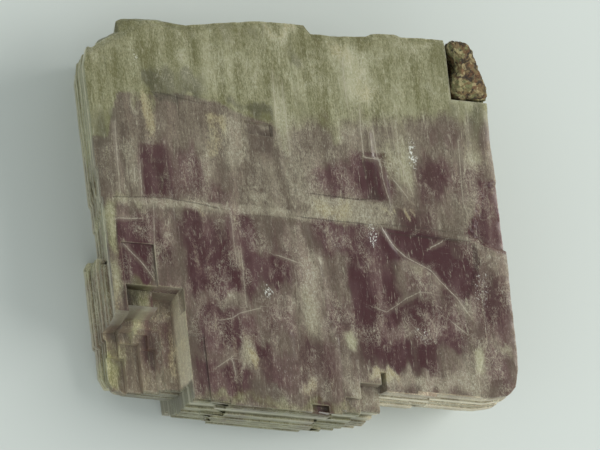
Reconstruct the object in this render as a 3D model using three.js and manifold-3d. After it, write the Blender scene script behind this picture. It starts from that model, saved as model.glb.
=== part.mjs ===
// A cleavage block of calcite that lies on its large back cleavage, with a remnant of the
// host rock left on one front corner. Millimetres, +Z up, origin under the middle of the block.
//
// Calcite breaks along three planes that meet at fixed angles, so the whole block is laid out
// in cleavage coordinates: p runs along edge a (to +X), q along edge b (to -Y) and d is the
// depth below the front cleavage. Depth is not square to the front: each millimetre down also
// leans by LEAN along -a and +b, which gives the sloping left and near sides and the undercut
// right and far sides of a true rhombohedron.
import * as THREE from "three";
import { mergeVertices } from "three/addons/utils/BufferGeometryUtils.js";
import Module from "manifold-3d";

// Driving dimensions
const THICKNESS = 34; // front cleavage to back cleavage
const FACE_ANGLE = THREE.MathUtils.degToRad(78.1); // acute plane angle of a calcite cleavage face
const A_TILT = THREE.MathUtils.degToRad(5.4); // how far edge a turns clockwise from +X
const LEFT = -39.3; // left side at the front cleavage, on the far side of the seam
const LEFT_RETREAT = 0.145; // how far the left side falls back for each millimetre down
const LEFT_SEAM_STEP = 0.8; // how far it stands back on the near side of the seam
const FOOT_LEFT = -37.4; // left side of the lower plates on the near left, which stand further out
const RIGHT = 41.4;
const FAR = -40.2; // worn far edge, on average
const NEAR = 37; // near edge of the middle block
const NEAR_RIGHT = 31; // near edge to the right of the middle block
const NEAR_LEFT = 33; // near edge of the ledge on the left
const BLOCK = [-24.2, 14]; // the middle block's sides along a
const LEDGE_DEPTH = 14; // depth of the broken-out ledge on the near left
const LATH = [-36.1, 20]; // right side and near end of the lath along the left side, above the ledge
const PANEL = [-29.2, 6, 2]; // right side, far edge and least depth of the sunk panel beside the lath
const SHELF = [-29.8, 14.4, 6]; // right side, far edge and least depth of the shelf above the ledge
const RECEDE = 0.22; // how far the lower near side falls back for each millimetre down
const ROCK_MIDDLE = [38, -35.5, 6.7]; // p, q and depth of the rock's middle
const ROCK_RADII = [3, 5.8, 7]; // along p, q and depth
const ROCK_FLARE = 0.6; // how much wider it is at the near end than at its middle
const ROCK_GAP = 0.35; // clearance between the rock and the calcite around it
const CENTRE = [-1.846, -0.844]; // middle of the finished block in X and Y, moved to the origin

const wasm = await Module();
wasm.setup();

// The cleavage frame: columns are one millimetre of p, of q and of depth.
const cosine = Math.cos(FACE_ANGLE);
const LEAN = cosine / (1 - cosine) / Math.sqrt(1 - (2 * cosine ** 2) / (1 - cosine));
const edgeA = new THREE.Vector3(Math.cos(A_TILT), -Math.sin(A_TILT), 0);
const edgeB = edgeA.clone().applyAxisAngle(new THREE.Vector3(0, 0, -1), FACE_ANGLE);
const edgeC = edgeB.clone().sub(edgeA).multiplyScalar(LEAN).add(new THREE.Vector3(0, 0, -1));
const cleavageFrame = new THREE.Matrix4()
  .makeBasis(edgeA, edgeB, edgeC)
  .setPosition(-CENTRE[0], -CENTRE[1], THICKNESS);

// Repeatable scatter from -1 to 1 for a page and a place on it.
function scatter(page, place) {
  const wave = Math.sin(page * 127.1 + place * 311.7) * 43758.5453;
  return 2 * (wave - Math.floor(wave)) - 1;
}

function solidOf(geometry) {
  const bare = geometry.index ? geometry.toNonIndexed() : geometry.clone();
  bare.deleteAttribute("normal");
  bare.deleteAttribute("uv");
  const merged = mergeVertices(bare, 1e-4);
  return new wasm.Manifold(
    new wasm.Mesh({
      numProp: 3,
      vertProperties: merged.attributes.position.array,
      triVerts: new Uint32Array(merged.index.array),
    }),
  );
}

function geometryOf(solid) {
  const mesh = solid.getMesh();
  const places = new Float32Array(mesh.numVert * 3);
  for (let i = 0; i < mesh.numVert; i++) {
    places.set(mesh.vertProperties.subarray(i * mesh.numProp, i * mesh.numProp + 3), i * 3);
  }
  const geometry = new THREE.BufferGeometry();
  geometry.setAttribute("position", new THREE.BufferAttribute(places, 3));
  geometry.setIndex(new THREE.BufferAttribute(mesh.triVerts, 1));
  const flat = geometry.toNonIndexed();
  flat.computeVertexNormals();
  return flat;
}

// A plate with cleavage sides: an outline in p and q, from one depth to another.
function plate(outline, from, to) {
  const shape = new THREE.Shape(outline.map(([p, q]) => new THREE.Vector2(p, q)));
  const geometry = new THREE.ExtrudeGeometry(shape, { depth: to - from, bevelEnabled: false });
  geometry.translate(0, 0, from);
  geometry.applyMatrix4(cleavageFrame);
  return solidOf(geometry);
}

function block(left, right, far, near, from, to) {
  return plate([[left, far], [right, far], [right, near], [left, near]], from, to);
}

// A rounded lump with radii along p, q and depth.
function lump(p, q, d, radii, segments = 10) {
  const geometry = new THREE.SphereGeometry(1, segments, Math.round(segments * 0.6));
  geometry.scale(...radii);
  geometry.translate(p, q, d);
  geometry.applyMatrix4(cleavageFrame);
  return solidOf(geometry);
}

// The worn far edge, from right to left, as offsets from FAR.
const farEdge = [
  [39.2, 0.2], [37, -0.4], [29.5, -0.3], [26, -0.2], [24.7, -0.8], [20.2, -0.6], [19, 0.1],
  [13, 0.7], [7.6, 0.5], [6.6, -0.9], [5, -1.2], [-3, -0.6], [-12.5, 0.5], [-17.5, 1.5],
  [-20.6, 1], [-26, 1.2],
];

// How far a side has fallen back at a depth: nothing to the depth where it starts, then at RECEDE.
function fallBack(depth, start) {
  return RECEDE * Math.max(depth - start, 0);
}

// The far left corner: broken off wide at the front, nearly whole at the back.
function farLeftCorner(page, depth, left) {
  const kept = Math.min(depth / 24, 1);
  const corner = [
    [-29 - 3.2 * kept, FAR + 1.5 - 0.8 * kept],
    [-32.2 - 1.5 * kept, FAR + 3.4 - 2.2 * kept],
    [left + 1.2 - 0.8 * kept, FAR + 6.6 - 3.9 * kept],
    [left, FAR + 10.4 - 5.2 * kept],
  ];
  return corner.map(([p, q], i) => [p, q + 0.25 * scatter(page, 41 + i)]);
}

// The left side below the top of the ledge, with the foot that stands out further.
function ledgeOutline(page, depth, left) {
  const step = (place, reach) => reach * scatter(page, place);
  if (depth < LEDGE_DEPTH) {
    const corners = [[left, LATH[1]], [LATH[0], LATH[1]]];
    if (depth < PANEL[2]) {
      corners.push([LATH[0], PANEL[1]], [PANEL[0], PANEL[1]], [PANEL[0], SHELF[1]]);
    } else if (depth < SHELF[2]) {
      corners.push([LATH[0], SHELF[1]]);
    } else {
      corners.push([LATH[0], 18.8], [SHELF[0], 18.8], [SHELF[0], SHELF[1]]);
    }
    return [...corners, [BLOCK[0], SHELF[1]]];
  }
  const foot = FOOT_LEFT + step(2, 0.35);
  const top = 7 - 0.2 * (depth - LEDGE_DEPTH) + step(6, 0.9);
  const near = NEAR_LEFT - fallBack(depth, 20) + step(8, 0.35);
  return [
    [left, top], [foot, top], [foot, 19 + step(7, 3)], [foot + 0.5, 19 + step(7, 3)],
    [foot + 0.4, near - 2.6], [foot + 1.3, near - 0.8], [foot + 3.4, near - 0.1], [BLOCK[0], near],
  ];
}

// The outline of one page of the stack. Its sides step in and out a little from page to page.
function pageOutline(page, depth) {
  const step = (place, reach) => reach * scatter(page, place);
  const left = LEFT + LEFT_RETREAT * depth + step(1, 0.35);
  const low = left + LEFT_SEAM_STEP;
  const right = RIGHT + step(5, 0.25);
  const near = NEAR - fallBack(depth, 19) + step(3, 0.4);
  const nearRight = NEAR_RIGHT - fallBack(depth, 12) + step(4, 0.35);
  const far = FAR + 0.05 * depth;
  return [
    ...farEdge.map(([p, q], i) => [p + step(40, 0.2), far + q + step(10 + i, 0.3)]),
    ...farLeftCorner(page, depth, left),
    [left, -22 + step(9, 3)], [left + 0.1, -22 + step(9, 3)],
    [left + 0.1, -9 + step(30, 3)], [left + 0.45, -9 + step(30, 3)],
    [left + 0.45, -3.2 + step(36, 0.5)], [low, -3.2 + step(36, 0.5)],
    ...ledgeOutline(page, depth, low),
    [BLOCK[0], near - 0.6], [-18 + step(31, 3), near - 0.6], [-18 + step(31, 3), near],
    [4 + step(32, 2), near], [4 + step(32, 2), near - 1],
    [9.6, near - 1], [9.6, near - 1.9], [BLOCK[1], near - 1.9], [BLOCK[1], nearRight + 0.6],
    [25 + step(33, 4), nearRight + 0.6], [25 + step(33, 4), nearRight],
    [right - 5.2, nearRight], [right - 2.7, nearRight - 0.9], [right - 1.1, nearRight - 2.9],
    [right - 0.2, nearRight - 6.5], [right, nearRight - 10], [right, 2 + step(34, 2)],
    [right - 0.4, 2 + step(34, 2)], [right - 0.5, -13 + step(35, 3)], [right - 0.6, -22],
    [right, -29.5], [right - 1.2, -36],
  ];
}

// The stack of pages that the sides show, from the front cleavage to the back one.
function pageStack() {
  const count = 17;
  const depths = Array.from({ length: count + 1 }, (_, i) => {
    const even = (THICKNESS * i) / count;
    return i === 0 || i === count ? even : even + 0.5 * scatter(i, 50);
  });
  const ledge = depths.reduce((best, d, i) =>
    Math.abs(d - LEDGE_DEPTH) < Math.abs(depths[best] - LEDGE_DEPTH) ? i : best, 0);
  depths[ledge] = LEDGE_DEPTH;
  const overlap = 0.02;
  return depths.slice(0, count).map((depth, i) => {
    const end = depths[i + 1] + (i === count - 1 ? 0 : overlap);
    return plate(pageOutline(i, depth), depth, end);
  });
}

// Shallow plates that have come off the front cleavage, as outlines with their depth.
function frontSteps() {
  const above = -2;
  const out = 46; // past the block's edges
  const farPlate = [
    [-44, -out], [-1.6, -out], [-1.6, -33], [-2.6, -24.2], [-2.6, -20.8], [-14, -21.5],
    [-14, -22.3], [-21.4, -22.7], [-21.4, -23.6], [-30.8, -24.9], [-35.5, -26], [-44, -26],
  ];
  const nearPlate = [
    [-44, -2.8], [-19.3, -2.8], [-5.3, -2.1], [16.4, -2], [20.8, -1.8], [26.7, -0.9],
    [34.7, -0.5], [out, 1], [out, out], [-44, out],
  ];
  const seamBand = [[3.9, -7], [21, -7], [27.4, -6.6], [37.3, -5.7], [34.7, 0], [16.4, -1.5], [4.9, -2.5]];
  const darkFacet = [
    [17.7, -0.9], [36.3, -0.4], [36.6, 3.8], [33.3, 11.7], [30.5, 10], [27.8, 7.2], [25, 5.3],
    [21.2, 3.6], [19.4, 2],
  ];
  const sideFacet = [[38.9, -12.9], [out, -14], [out, 0.9], [40.6, 0.9], [34.5, -1.9], [37, -6.3]];
  const nearRightEdge = [[36.6, 6], [out, 4], [out, out], [34, out], [34, 27], [36.5, 20]];
  const windows = [
    [-7.9, -2.4, -23.8, -20.8, 2.2], [-7.4, -3, -18.6, -15, 0.9], [-33.6, -30.8, 0.6, 5.2, 1.7],
    [-0.6, 2.8, 35.5, 39, 3.1], [-25, -21, 24, 39, 2.1], [6.4, 15, 34.2, 39, 3.2],
    [10, 15, 31.4, 39, 4.8],
    [15.7, 19.7, -25.2, -17.6, 0.35], [19.7, 27.5, -40, -8.1, 0.35],
  ];
  return [
    plate(farPlate, above, 1.4),
    plate(nearPlate, above, 1.7),
    plate(seamBand, above, 0.9),
    plate(darkFacet, above, 2.7),
    plate(sideFacet, above, 2.3),
    plate(nearRightEdge, above, 2.2),
    ...windows.map(([left, right, far, near, depth]) => block(left, right, far, near, above, depth)),
  ];
}

// Steps down across the ledge towards the left: right edge, far edge and depth of each tread.
function ledgeSteps() {
  const treads = [
    [-27.2, 20.4, 15.5], [-29.5, 21.5, 17.3], [-32.3, 20.6, 19.2], [-35.1, 20.2, 21.6],
    [-28.1, 25.5, 17.9], [-30.9, 23.5, 20.5], [-33.7, 27.5, 23.4],
  ];
  return treads.map(([right, far, depth]) => block(-42, right, far, 46, LEDGE_DEPTH - 0.2, depth));
}

// Rounded growths along the worn far side: p, offset from FAR, depth and radii.
function farLumps() {
  const lumps = [
    [2.6, -0.1, 2.4, [5.4, 1.5, 2.2]], [22.6, 0, 1.6, [2.7, 1.3, 1.5]],
    [-25, 1.8, 4, [6.5, 1.5, 3.4]], [-9, 1.2, 7, [7, 1.5, 4.2]], [13.5, 1.2, 8.5, [6, 1.7, 4.6]],
    [30, 0.6, 9, [5.2, 1.7, 4.8]], [-30, 3, 13, [4.2, 2, 6]], [-17, 2, 15, [6, 1.9, 4.6]],
    [3, 1.6, 17, [6.8, 1.8, 5]], [22, 1.5, 18.5, [6.2, 2, 5.2]], [-24, 2.4, 25, [6.2, 2, 4.6]],
    [-6, 2.2, 26, [7.2, 1.9, 4.4]], [12, 2, 27, [6.4, 1.7, 4]], [33, 1.6, 26, [5.4, 1.9, 4.6]],
  ];
  return lumps.map(([p, q, d, radii]) => lump(p, FAR + q, d, radii));
}

// The rock: a knobbly block with blunt corners, wider at the near end.
function rockKnob(grow) {
  const geometry = new THREE.BoxGeometry(2, 2, 2, 9, 12, 14);
  const places = geometry.attributes.position;
  const at = new THREE.Vector3();
  for (let i = 0; i < places.count; i++) {
    at.fromBufferAttribute(places, i);
    const blunt = (Math.abs(at.x) ** 5 + Math.abs(at.y) ** 5 + Math.abs(at.z) ** 5) ** (-1 / 5);
    at.multiplyScalar(blunt);
    const grain =
      0.3 * Math.sin(4.1 * at.x + 5.3 * at.y + 0.7) * Math.cos(6.7 * at.z + 1.9 * at.x) +
      0.24 * Math.sin(9.3 * at.y - 3.1 * at.z) * Math.cos(8.2 * at.x + 0.4) +
      0.16 * Math.cos(13.1 * at.z + 7.4 * at.y);
    const flare = ROCK_FLARE * at.y;
    const swell = grain + grow;
    places.setXYZ(
      i,
      at.x * (ROCK_RADII[0] + flare + swell) + flare + ROCK_MIDDLE[0],
      at.y * (ROCK_RADII[1] + swell) + ROCK_MIDDLE[1],
      at.z * (ROCK_RADII[2] + 0.4 * grain + grow) + ROCK_MIDDLE[2],
    );
  }
  geometry.applyMatrix4(cleavageFrame);
  return solidOf(geometry);
}

function crystalSolid() {
  const added = [...pageStack(), ...farLumps()];
  const beside = [[35.9, -46], [50, -46], [50, -28.9], [40.8, -28.9], [39, -37.4], [35.9, -38.6]];
  const cornerRoom = plate(beside, -2, 14.6);
  const taken = [...frontSteps(), ...ledgeSteps(), rockKnob(ROCK_GAP), cornerRoom];
  const standing = plate([[-60, -60], [60, -60], [60, 60], [-60, 60]], -4, THICKNESS);
  return wasm.Manifold.union(added).subtract(wasm.Manifold.union(taken)).intersect(standing);
}

function calcite() {
  const material = new THREE.MeshStandardMaterial({
    color: 0x80716a, roughness: 0.35, metalness: 0, flatShading: true,
  });
  const mesh = new THREE.Mesh(geometryOf(crystalSolid()), material);
  mesh.name = "calcite_crystal";
  return mesh;
}

function rock() {
  const material = new THREE.MeshStandardMaterial({
    color: 0x5a4a34, roughness: 0.9, metalness: 0, flatShading: true,
  });
  const mesh = new THREE.Mesh(geometryOf(rockKnob(0)), material);
  mesh.name = "host_rock";
  return mesh;
}

const part = new THREE.Group();
part.add(calcite(), rock());
export default part;
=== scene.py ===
"""A cleavage block of calcite with a remnant of its host rock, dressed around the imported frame.

The block is worked out in cleavage coordinates, in millimetres: p runs along edge a, q along
edge b and d is the depth below the front cleavage. Depth leans by LEAN along -a and +b.
"""
import math

import bpy
import numpy as np
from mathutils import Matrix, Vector


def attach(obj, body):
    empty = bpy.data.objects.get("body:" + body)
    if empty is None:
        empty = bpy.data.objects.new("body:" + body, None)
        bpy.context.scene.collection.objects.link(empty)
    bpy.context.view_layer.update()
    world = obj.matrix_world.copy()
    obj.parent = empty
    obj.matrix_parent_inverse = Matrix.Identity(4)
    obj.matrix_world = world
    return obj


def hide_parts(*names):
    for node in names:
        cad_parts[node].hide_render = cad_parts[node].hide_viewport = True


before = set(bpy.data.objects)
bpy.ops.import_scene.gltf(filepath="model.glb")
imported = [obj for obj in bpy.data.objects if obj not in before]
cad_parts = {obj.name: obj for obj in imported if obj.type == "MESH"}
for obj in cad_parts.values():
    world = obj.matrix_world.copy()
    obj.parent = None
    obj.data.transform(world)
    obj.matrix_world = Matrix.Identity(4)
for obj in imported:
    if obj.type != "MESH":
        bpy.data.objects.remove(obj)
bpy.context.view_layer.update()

# ---------------- driving dimensions
MM = 0.001
THICKNESS = 34.0
FACE_ANGLE = math.radians(78.1)
A_TILT = math.radians(5.4)
LEFT = -39.3  # where the left side starts in p, and how far it moves right per mm of depth
LEFT_RETREAT = 0.145
LEFT_SEAM_STEP = 0.8
FOOT_LEFT = -37.4  # left side of the foot that stands out below the ledge
RIGHT = 42.5
FAR = -40.9
NEAR = 37.0  # near edge of the middle part, then of the parts to its right and left
NEAR_RIGHT = 31.0
NEAR_LEFT = 33.0
BLOCK_LEFT = -24.2  # left and right ends of the middle part
BLOCK_RIGHT = 14.0
RECEDE = 0.22  # how far the near edges move back per mm of depth, once they start to
LEDGE_DEPTH = 14.0
FOOT_DEPTH = 21.6  # depth of the tread along the foot's left side
LATH = (-36.1, 20.0)  # right side and near end of the lath along the left side
PANEL = (-29.2, 6.0)  # right side and far edge of the sunk panel beside the lath
SHELF = (-29.8, 14.4, 18.8)  # right side, far and near edge of the shelf above the ledge
ROCK_ROOM = (34.7, -29.3, 14.6)  # left and near sides of the rock's corner, and its depth
ROCK_MIDDLE = np.array([38.0, -35.5, 6.7])
ROCK_RADII = np.array([3.0, 5.8, 7.0])
CENTRE = np.array([-1.846, -0.844])  # middle of the whole block in x and y, from the start
CAMERA_HEIGHT = 700.0
PAGE_COUNT = 17
GRID_PITCH = 0.56
CREASE_GAP = 0.06  # between the two grid lines of a crease
WALL_SPREAD = 0.35  # how far a ledge wall spreads over its whole height
SEAM_DROP = 1.7  # how far the near half of the front lies below the far half

COSINE = math.cos(FACE_ANGLE)
LEAN = COSINE / (1 - COSINE) / math.sqrt(1 - 2 * COSINE**2 / (1 - COSINE))
EDGE_A = np.array([math.cos(A_TILT), -math.sin(A_TILT), 0.0])
EDGE_B = np.array([math.cos(A_TILT + FACE_ANGLE), -math.sin(A_TILT + FACE_ANGLE), 0.0])
EDGE_C = LEAN * (EDGE_B - EDGE_A) + np.array([0.0, 0.0, -1.0])
START = np.array([-CENTRE[0], -CENTRE[1], THICKNESS])


# ---------------- plain helpers
def place(p, q, d):
    """Cleavage coordinates to metres: the start corner plus p, q and d steps of the three edges."""
    steps = p[..., None] * EDGE_A + q[..., None] * EDGE_B + d[..., None] * EDGE_C
    return (steps + START) * MM


def ease(t):
    """From 0 to 1 as t goes from 0 to 1, with flat ends."""
    t = np.clip(t, 0, 1)
    return t * t * (3 - 2 * t)


def scatter(page, place_on_it):
    """Repeatable scatter from -1 to 1 for a page and a place on it."""
    wave = np.sin(page * 127.1 + place_on_it * 311.7) * 43758.5453
    return 2 * (wave - np.floor(wave)) - 1


def corner_value(i, j, k):
    """A fixed number from 0 to 1 for a whole-number corner of space."""
    wave = np.sin(i * 127.1 + j * 311.7 + k * 74.7) * 43758.5453
    return wave - np.floor(wave)


def soft_noise(x, y, z):
    """Smooth noise from 0 to 1: values on whole-number corners of space, eased between them."""
    i, j, k = np.floor(x), np.floor(y), np.floor(z)
    u, v, w = ease(x - i), ease(y - j), ease(z - k)
    total = 0.0
    for a in (0, 1):
        for b in (0, 1):
            for c in (0, 1):
                share = (u if a else 1 - u) * (v if b else 1 - v) * (w if c else 1 - w)
                total = total + share * corner_value(i + a, j + b, k + c)
    return total


def rough_noise(x, y, z, octaves=3):
    """Octaves of soft noise, each twice as fine and half as strong, from 0 to 1."""
    total, weight = 0.0, 0.0
    for octave in range(octaves):
        scale = 2.0**octave
        total = total + soft_noise(x * scale + 17 * octave, y * scale, z * scale) / scale
        weight += 1 / scale
    return total / weight


def inside(p, q, corners):
    """Signed distance to a polygon's outline in p and q, positive inside."""
    nearest = np.full(np.broadcast(p, q).shape, 1e9)
    crossings = np.zeros(nearest.shape, int)
    for (p0, q0), (p1, q1) in zip(corners, corners[1:] + corners[:1]):
        along = ((p - p0) * (p1 - p0) + (q - q0) * (q1 - q0)) / ((p1 - p0) ** 2 + (q1 - q0) ** 2)
        along = np.clip(along, 0, 1)
        distance = np.hypot(p - p0 - along * (p1 - p0), q - q0 - along * (q1 - q0))
        nearest = np.minimum(nearest, distance)
        if q1 != q0:
            reaches = (q0 > q) != (q1 > q)
            crossings += reaches & (p < p0 + (q - q0) / (q1 - q0) * (p1 - p0))
    return np.where(crossings % 2 == 1, nearest, -nearest)


# ---------------- pages of the block
def page_depths():
    """The depths between pages: even, each moved a little, with one exactly at the ledge."""
    depths = THICKNESS * np.arange(PAGE_COUNT + 1) / PAGE_COUNT
    depths[1:-1] += 0.5 * scatter(np.arange(1, PAGE_COUNT), 50)
    depths[np.argmin(np.abs(depths - LEDGE_DEPTH))] = LEDGE_DEPTH
    return depths


PAGE_DEPTHS = page_depths()
LEDGE_PAGE = int(np.searchsorted(PAGE_DEPTHS, LEDGE_DEPTH))
FOOT_PAGE = int(np.searchsorted(PAGE_DEPTHS, FOOT_DEPTH))

# The worn far edge from left to right: p, and q as an offset from FAR.
FAR_EDGE = [
    (-26, 1.2), (-20.6, 1), (-17.5, 1.5), (-12.5, 0.5), (-3, -0.6), (5, -1.2), (6.6, -0.9),
    (7.6, 0.5), (13, 0.7), (19, 0.1), (20.2, -0.6), (24.7, -0.8), (26, -0.2), (29.5, -0.3),
    (37, -0.4), (39.2, 0.2),
]


def left_of(page):
    """The left side of a page; the next functions give its other sides in the same way."""
    return LEFT + LEFT_RETREAT * PAGE_DEPTHS[page] + 0.2 * scatter(page, 1)


def right_of(page):
    return RIGHT + 0.25 * scatter(page, 5)


def near_of(page):
    return NEAR - RECEDE * max(PAGE_DEPTHS[page] - 19, 0) + 0.4 * scatter(page, 3)


def near_right_of(page):
    return NEAR_RIGHT - RECEDE * max(PAGE_DEPTHS[page] - 12, 0) + 0.35 * scatter(page, 4)


def near_left_of(page):
    return NEAR_LEFT - RECEDE * max(PAGE_DEPTHS[page] - 20, 0) + 0.35 * scatter(page, 8)


def far_left_corner(page):
    """The corner from the left side to the far edge: broken off wide at the front only."""
    kept = min(PAGE_DEPTHS[page] / 24, 1)
    left = left_of(page)
    return [
        (left, FAR + 11.4 - 5.2 * kept + 0.25 * scatter(page, 44)),
        (left + 1.2 - 0.8 * kept, FAR + 7.8 - 3.9 * kept + 0.25 * scatter(page, 43)),
        (-32.2 - 1.5 * kept, FAR + 4.7 - 2.2 * kept + 0.25 * scatter(page, 42)),
        (-29 - 3.2 * kept, FAR + 2.6 - 0.8 * kept + 0.25 * scatter(page, 41)),
    ]


def far_side(page):
    """The far edge from left to right, every point with its own scatter number."""
    far = FAR + 0.05 * PAGE_DEPTHS[page]
    shift = 0.2 * scatter(page, 40)
    numbers = range(9 + len(FAR_EDGE), 9, -1)
    edge = [(p + shift, far + q + 0.3 * scatter(page, i)) for i, (p, q) in zip(numbers, FAR_EDGE)]
    return far_left_corner(page)[1:] + edge + [(right_of(page) - 2.3, -36)]


def foot_left(page):
    return FOOT_LEFT + 0.35 * scatter(page, 2)


def left_side(page):
    """The left side down to the lath's near end; the foot stands out on the lower pages."""
    left, low = left_of(page), left_of(page) + LEFT_SEAM_STEP
    far_shoulder = -22 + 3 * scatter(page, 9)
    near_shoulder = -9 + 3 * scatter(page, 30)
    seam = -3.2 + 0.5 * scatter(page, 36)
    top = 7 - 0.2 * (PAGE_DEPTHS[page] - LEDGE_DEPTH) + 0.9 * scatter(page, 6)
    out = foot_left(page) if page >= LEDGE_PAGE else low
    return [far_left_corner(page)[1], far_left_corner(page)[0]] + [
        (left, far_shoulder), (left + 0.1, far_shoulder + 0.1),
        (left + 0.1, near_shoulder), (left + 0.45, near_shoulder + 0.1),
        (left + 0.45, seam), (low, seam + 0.1), (low, top), (out, top + 0.1), (out, LATH[1]),
    ]


def foot_side(page):
    """The foot's left side, from the lath's near end to its rounded near corner."""
    foot, near = foot_left(page), near_left_of(page)
    shoulder = 22 + 1.5 * scatter(page, 7)
    return [
        (foot, LATH[1]), (foot, shoulder), (foot + 0.5, shoulder + 0.1),
        (foot + 0.4, near - 2.6), (foot + 1.3, near - 0.8),
    ]


def foot_near(page):
    """The foot's near side, from its rounded corner to the middle part."""
    foot, near = foot_left(page), near_left_of(page)
    return [(foot + 1.3, near - 0.8), (foot + 3.4, near - 0.1), (BLOCK_LEFT, near)]


def near_side(page):
    """The near side from left to right, with a small step at each break of a page."""
    near, near_right, right = near_of(page), near_right_of(page), right_of(page)
    first, second = -18 + 3 * scatter(page, 31), 4 + 2 * scatter(page, 32)
    third = 25 + 4 * scatter(page, 33)
    return [
        (BLOCK_LEFT, near - 0.6), (first, near - 0.6), (first + 0.01, near), (second, near),
        (second + 0.01, near - 1), (9.6, near - 1), (9.61, near - 1.9), (BLOCK_RIGHT, near - 1.9),
        (BLOCK_RIGHT + 0.01, near_right + 0.6), (third, near_right + 0.6), (third + 0.01, near_right),
        (right - 5.2, near_right), (right - 2.7, near_right - 0.9), (right - 1.1, near_right - 2.9),
    ]


def right_side(page):
    """The right side from the far corner to the worn near one."""
    right, near_right = right_of(page), near_right_of(page)
    shoulder = 2 + 2 * scatter(page, 34)
    return [
        (right - 2.3, -36), (right - 0.6, -29.5), (right - 0.8, -22),
        (right - 0.5, -13 + 3 * scatter(page, 35)),
        (right - 0.4, shoulder), (right, shoulder + 0.1), (right, near_right - 10),
        (right - 0.2, near_right - 6.5), (right - 1.1, near_right - 2.9),
    ]


class Side:
    """One side of the block: its corners on every page, along p (axis 0) or q (axis 1), the
    page that the front's grid follows there, and the way out in p and q."""

    def __init__(self, corners, axis, base, outward):
        self.corners = np.array([corners(page) for page in range(PAGE_COUNT)])
        self.axis = axis
        self.base = base
        self.outward = outward

    def edge(self, along):
        """Where the front's edge runs at a distance along the side."""
        here = self.corners[self.base]
        return np.interp(along, here[:, self.axis], here[:, 1 - self.axis])

    def moved(self, along):
        """How far each page's edge has moved from the front's, as (page, place, p and q)."""
        numbers = np.arange(self.corners.shape[1])
        t = np.interp(along, self.corners[self.base][:, self.axis], numbers)
        found = [[np.interp(t, numbers, page[:, c]) for c in (0, 1)] for page in self.corners]
        found = np.array(found).transpose(0, 2, 1)
        return found - found[self.base]


far = Side(far_side, 0, 0, (0, -1))
left = Side(left_side, 1, 0, (-1, 0))
foot = Side(foot_side, 1, FOOT_PAGE, (-1, 0))
near_of_foot = Side(foot_near, 0, FOOT_PAGE, (0, 1))
near = Side(near_side, 0, 0, (0, 1))
right = Side(right_side, 1, 0, (1, 0))

# ---------------- the front's grid
PLATE_RIGHT = -2.1  # right edge of the plate that is off the far left
FACET_LEFT = 36.5  # left edge of the facet along the near right
BAND_LEFT = 4.0  # left and right ends of the sunk band beside the seam
BAND_RIGHT = 37.3
GRID_RIGHT = RIGHT - 1.1  # the last column, which bends out to the right side
LEDGE_ROOMS = [(-60, LATH[1]), (LATH[0], SHELF[2]), (SHELF[0], SHELF[1])]  # left and far edges
TREADS = [  # right edge, far edge and depth of each step down across the ledge
    (-27.2, 20.4, 15.5), (-29.5, 21.5, 17.3), (-32.3, 20.6, 19.2), (-35.1, LATH[1], FOOT_DEPTH),
    (-28.1, 25.5, 17.9), (-30.9, 23.5, 20.5), (-33.7, 27.5, 23.4),
]
WINDOWS = [  # shallow plates that have come off: left, right, far, near, depth
    (BAND_LEFT, BAND_RIGHT, -7, -2, 0.9),
    (-7.9, -2.4, -23.8, -20.8, 2.2), (-7.4, -3, -18.6, -15, 0.9),
    (-0.6, 2.8, 35.5, 39, 3.1), (-25, -21, 24, 39, 2.1), (6.4, 15, 34.2, 39, 3.2),
    (9.6, 15, 31.4, 39, 4.8), (15.7, 19.7, -25.2, -17.6, 0.35), (19.7, 27.5, -42, -8.1, 0.35),
    (LATH[0], PANEL[0], PANEL[1], SHELF[1], PAGE_DEPTHS[1]),
    (LATH[0], BLOCK_LEFT, SHELF[1], SHELF[2], PAGE_DEPTHS[3]),
]


def ledge_line(p):
    """Where the plate that is off the far left ends, in short steps."""
    marks = [-35.5, -30.8, -21.5, -21.4, -14.1, -14, -2.6]
    return np.interp(p, marks, [-26, -24.9, -23.6, -22.7, -22.3, -21.5, -20.8])


def band_line(p):
    """The far edge of the band beside the seam."""
    return np.interp(p, [3.9, 21, 27.4, BAND_RIGHT], [-7, -7, -6.6, -5.7])


def seam_line(p):
    """The seam across the front."""
    marks = [-19.3, -5.3, 16.4, 20.8, 26.7, 34.7, 46]
    return np.interp(p, marks, [-2.8, -2.1, -2, -1.8, -0.9, -0.5, 1])


def olive_line(p):
    """Where the olive third ends: along the ledge line, then loosely across to the right side."""
    marks = [-36, -33, -29, -18.6, -10.7, -3, -1, 10, 17, 24, 32, 36, 42]
    return np.interp(p, marks, [-15, -24, -26, -24.6, -22.8, -21.3, -22, -22, -23, -24, -26, -27, -27])


def seam_band(p, q):
    """The pale band that follows the near side of the seam across the left half."""
    middle = np.interp(p, [-36, -21, -5, 7], [-2.5, -2.8, -2.9, -2.4])
    ends = ease((p + 36) / 1.5) * ease((8 - p) / 6)
    return 0.75 * ends * ease((1.05 - np.abs(q - middle)) / 0.5)


def ruled(start, end, creases):
    """Lines from start to end at about GRID_PITCH, with a close pair at each crease."""
    even = np.linspace(start, end, round((end - start) / GRID_PITCH) + 1)
    creases = np.array(creases)
    clear = np.abs(even[:, None] - creases).min(1) > 0.35 * GRID_PITCH
    clear[[0, -1]] = True
    pairs = np.concatenate([creases - CREASE_GAP / 2, creases + CREASE_GAP / 2])
    return np.unique(np.concatenate([even[clear], pairs]))


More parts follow.
